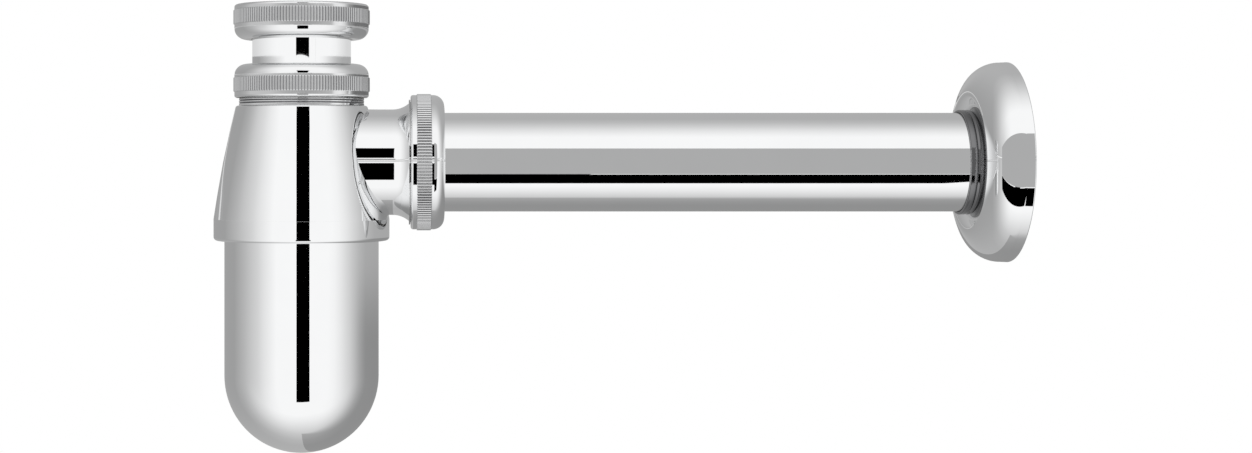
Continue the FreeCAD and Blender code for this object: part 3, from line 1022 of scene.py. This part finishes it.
def tent():
    """A round tent, brightest in front. Its sides fade one way and its top and bottom another."""
    material = glow("tent_paint", WHITE)
    tree = material.node_tree
    x, y, z = place_of(tree, outlet_axis_z)
    sides = greys(tree, turn_from_front(tree, x, y), ROUND_GREYS)
    ends = greys(tree, turn_from_front(tree, z, y), LEVEL_GREYS)
    xx, zz = calc(tree, "MULTIPLY", x, x), calc(tree, "MULTIPLY", z, z)
    share = calc(tree, "DIVIDE", zz, calc(tree, "ADD", calc(tree, "ADD", xx, zz), AXIS_GUARD))
    mix = tree.nodes.new("ShaderNodeMix")
    mix.data_type = "RGBA"
    tree.links.new(share, mix.inputs["Factor"])
    tree.links.new(sides, mix.inputs["A"])
    tree.links.new(ends, mix.inputs["B"])
    low = fade(tree, calc(tree, "DIVIDE", z, FAR * MM), *CORNER_DROP)
    right = fade(tree, turn_from_front(tree, x, y), *[turn_share(degrees) for degrees in CORNER_TURN])
    dark = calc(tree, "MULTIPLY", calc(tree, "MULTIPLY", low, right), CORNER_SHADE)
    tone = tree.nodes.new("ShaderNodeVectorMath")
    tone.operation = "SCALE"
    tree.links.new(mix.outputs["Result"], tone.inputs[0])
    tree.links.new(calc(tree, "SUBTRACT", 1.0, dark), tone.inputs["Scale"])
    tree.links.new(tone.outputs["Vector"], tree.nodes["Light"].inputs["Color"])
    columns = TENT_COLUMNS
    vertices, faces = [], []
    for i in range(TENT_ROWS + 1):
        polar = math.pi * i / TENT_ROWS
        for j in range(columns):
            turn = 2 * math.pi * j / columns
            out = FAR * math.sin(polar)
            vertices.append((out * math.cos(turn), out * math.sin(turn), outlet_axis_z + FAR * math.cos(polar)))
    for i in range(TENT_ROWS):
        for j in range(columns):
            k = (j + 1) % columns
            faces.append((i * columns + j, i * columns + k, (i + 1) * columns + k, (i + 1) * columns + j))
    card("tent", vertices, faces, material)


def hoops():
    """Far rings round the set, at the heights that the nuts and the tube mirror in the photograph's view."""
    columns = HOOP_COLUMNS
    for name, low, high, stops in (
        ("hoop_low", 18, 74, NUT_GREYS),
        ("hoop_high", 129, 172, NUT_GREYS),
        ("hoop_tube", 92, 128, TUBE_GREYS),
    ):
        material = glow(name + "_paint", WHITE)
        tree = material.node_tree
        x, y, _ = place_of(tree, 0.0)
        tree.links.new(greys(tree, turn_from_front(tree, x, y), stops), tree.nodes["Light"].inputs["Color"])
        turns = [2 * math.pi * j / columns for j in range(columns)]
        vertices = [(HOOP_R * math.cos(t), HOOP_R * math.sin(t), h) for h in (low, high) for t in turns]
        faces = [(j, (j + 1) % columns, columns + (j + 1) % columns, columns + j) for j in range(columns)]
        card(name, vertices, faces, material, (0, 0, (low + high) / 2))


def strips():
    """Black strips in front, which the tube and the body mirror as one straight line in the photograph's view.

    The rows are (z, left, right). A measuring script worked them out from the edges of the photograph's
    black line, and they were rounded. report.md names this as a breach.
    """
    black = glow("strip_black", 0, shy=True)
    for name, rows in (
        ("strip_tube", ((10.5, -109, 212), (24, -109, 212))),
        ("strip_low", (
            (-520, -62, 164), (-300, -54, 150), (-178, -52, 147.5), (-102, -52, 147.5), (-101, -42, 131.5),
            (-66, -42, 131.5),
        )),
        ("strip_high", (
            (47, -43, 133), (99, -44.5, 136), (122, -48, 141), (166, -52, 147), (211, -57, 155),
            (258, -63.5, 165.5), (272, -68, 173), (300, -73, 182),
        )),
    ):
        vertices = [(x, STRIP_Y, z) for z, left, right in rows for x in (left, right)]
        faces = [(2 * k, 2 * k + 1, 2 * k + 3, 2 * k + 2) for k in range(len(rows) - 1)]
        card(name, vertices, faces, black, (0, 0, rows[0][0]))


def fan_point(x, rise):
    """Where the ray that the pipe mirrors up by these degrees at x meets the slanted wall."""
    half = math.radians(rise / 2)
    y = -(x - FAN_SHIFT) / FAN_SLANT
    ahead = -y - tube_r * math.cos(half)
    return (x, y, outlet_axis_z + tube_r * math.sin(half) + ahead * math.tan(math.radians(rise)))


def fans():
    """The wall's two sheets, which give the pipe its grey band and its black line."""
    for shade, level, (top, foot) in (("grey", FIELD_GREY, GREY_FIELD), ("black", 0, BLACK_FIELD)):
        corners = [(FAN_START_X, top), (FAN_END_X, top), (FAN_END_X, foot), (FAN_START_X, foot)]
        vertices = [fan_point(x, rise) for x, rise in corners]
        paint = glow("fan_" + shade, level, shy=True)
        card("fan_pipe_" + shade, vertices, [(0, 1, 2, 3)], paint, towards=(FAN_END_X, 0, outlet_axis_z))


def floor():
    """A pale floor under the object, which fades to the white of the background at its edge."""
    material, tree, shader, add = node_material("floor_paint", "")
    link = tree.links.new
    shader.inputs["Base Color"].default_value = (FLOOR_GREY, FLOOR_GREY, FLOOR_GREY, 1)
    shader.inputs["Roughness"].default_value = 0.9
    shader.inputs["Specular IOR Level"].default_value = 0.1
    where = add("ShaderNodeTexCoord").outputs["Object"]
    distance = add("ShaderNodeVectorMath", operation="LENGTH")
    link(where, distance.inputs[0])
    edge = add("ShaderNodeMapRange", interpolation_type="SMOOTHSTEP")
    edge.inputs["From Min"].default_value = FLOOR_FADE[0]
    edge.inputs["From Max"].default_value = FLOOR_FADE[1]
    link(distance.outputs["Value"], edge.inputs["Value"])
    white = add("ShaderNodeEmission")
    mix = add("ShaderNodeMixShader")
    link(edge.outputs["Result"], mix.inputs["Fac"])
    link(shader.outputs["BSDF"], mix.inputs[1])
    link(white.outputs["Emission"], mix.inputs[2])
    link(mix.outputs["Shader"], tree.nodes["Material Output"].inputs["Surface"])
    material.cycles.emission_sampling = "NONE"
    mesh = bpy.data.meshes.new("floor")
    turns = np.linspace(0, 2 * math.pi, FLOOR_COLUMNS, endpoint=False)
    ring = [(FLOOR_R * math.cos(a), FLOOR_R * math.sin(a), 0) for a in turns]
    mesh.from_pydata(ring, [], [tuple(range(FLOOR_COLUMNS))])
    mesh.materials.append(material)
    made = bpy.data.objects.new("floor", mesh)
    made.location = FLOOR_PLACE
    made.visible_glossy = False
    bpy.context.scene.collection.objects.link(made)


def lights():
    """A plain white world, and one soft lamp for the floor's shadow."""
    world = bpy.data.worlds.new("studio")
    bpy.context.scene.world = world
    world.use_nodes = True
    world.node_tree.nodes["Background"].inputs["Color"].default_value = (1, 1, 1, 1)
    world.node_tree.nodes["Background"].inputs["Strength"].default_value = 1.0
    lamp = bpy.data.lights.new("soft_lamp", "AREA")
    lamp.size = LAMP_SIZE
    lamp.energy = LAMP_POWER
    made = bpy.data.objects.new("soft_lamp", lamp)
    made.location = LAMP_PLACE
    made.rotation_euler = (Vector(FLOOR_PLACE) - made.location).to_track_quat("-Z", "Y").to_euler()
    made.visible_glossy = False
    bpy.context.scene.collection.objects.link(made)


def camera():
    """A level camera at the photograph's viewing angle, with a shifted lens."""
    lens = bpy.data.cameras.new("camera")
    lens.sensor_width = SENSOR_WIDTH
    lens.lens = FOCAL_LENGTH
    lens.shift_x, lens.shift_y = LENS_SHIFT
    lens.clip_start = CLIP_START
    made = bpy.data.objects.new("camera", lens)
    made.location = [c * MM for c in EYE]
    made.rotation_euler = (math.pi / 2, 0, 0)
    bpy.context.scene.collection.objects.link(made)
    bpy.context.scene.camera = made
    bpy.context.scene.view_settings.view_transform = "Standard"


def main():
    """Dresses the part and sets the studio."""
    mirror = chrome("chrome_mirror", (0.88, 0.885, 0.89), rough=0.01, rough_spread=0.02, bump=0.02)
    bore = chrome("chrome_bore", (0.72, 0.71, 0.69), rough=0.22, rough_spread=0.12, bump=0.3, tint=0.05)
    nut_plate = chrome("chrome_nut", (0.86, 0.865, 0.87), rough=0.02, rough_spread=0.04, bump=0.06)
    # Two darker plates, both painted shade: one in the collar's grooves and the knurl valleys, one on the
    # flange's neck
    groove = chrome("chrome_groove_painted_shade", (0.24, 0.24, 0.25), rough=0.25, rough_spread=0.2, bump=0.3, tint=0.1)
    shade = chrome("chrome_neck_painted_shade", (0.2, 0.2, 0.205), rough=0.04, rough_spread=0.05, bump=0.05)
    rubber = moulded("rubber", "seal_rubber", dark=(0.02, 0.02, 0.022), light=(0.045, 0.045, 0.048),
                     rough=0.55, grain=1500.0, sheen=0.1)
    wax = moulded("slip_plastic", "slip_ring_plastic", dark=(0.76, 0.75, 0.7), light=(0.86, 0.85, 0.81),
                  rough=0.35, grain=900.0)
    nut_finish = [nut_plate, bore, groove]

    inlet_nut(nut_finish)
    gland_nut("body_nut_knurled", AT_NECK, "body_nut", nut_finish, "body_nut")
    gland_nut("outlet_nut_knurled", AT_BRANCH, "outlet_nut", nut_finish, "outlet_nut")
    inlet_tube([mirror, bore])
    inlet_gasket([rubber])
    outlet_pipe([mirror, bore])
    cup([mirror, bore])
    wall_flange([mirror, bore, shade])
    trap_body([mirror, bore, groove])

    for name, place in (("neck_thread", AT_NECK), ("branch_thread", AT_BRANCH)):
        ridge(name, male_r, male_ridge_low, male_ridge_high, thread_pitch, thread_height, place,
              "trap_body", [mirror])
    for name, place, body in (
        ("body_nut_thread", AT_NECK, "body_nut"), ("outlet_nut_thread", AT_BRANCH, "outlet_nut"),
    ):
        ridge(name, female_r, gland_ridge_low, gland_ridge_high, thread_pitch, -thread_height, place,
              body, [bore])
    ridge("inlet_nut_thread", female_r, inlet_ridge_low, inlet_ridge_high, thread_pitch, -thread_height,
          UPRIGHT, "inlet_nut", [bore])
    ridge("cup_thread", cup_band_r, cup_ridge_low, cup_ridge_high, cup_thread_pitch, cup_thread_height,
          UPRIGHT, "cup", [mirror])

    for node, material in (
        ("body_slip_ring", wax), ("outlet_slip_ring", wax),
        ("body_cone_seal", rubber), ("outlet_cone_seal", rubber), ("cup_ring", rubber),
    ):
        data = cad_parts[node].data
        data.materials.clear()
        data.materials.append(material)

    tent()
    hoops()
    strips()
    fans()
    floor()
    lights()
    camera()
    bpy.context.view_layer.update()


main()
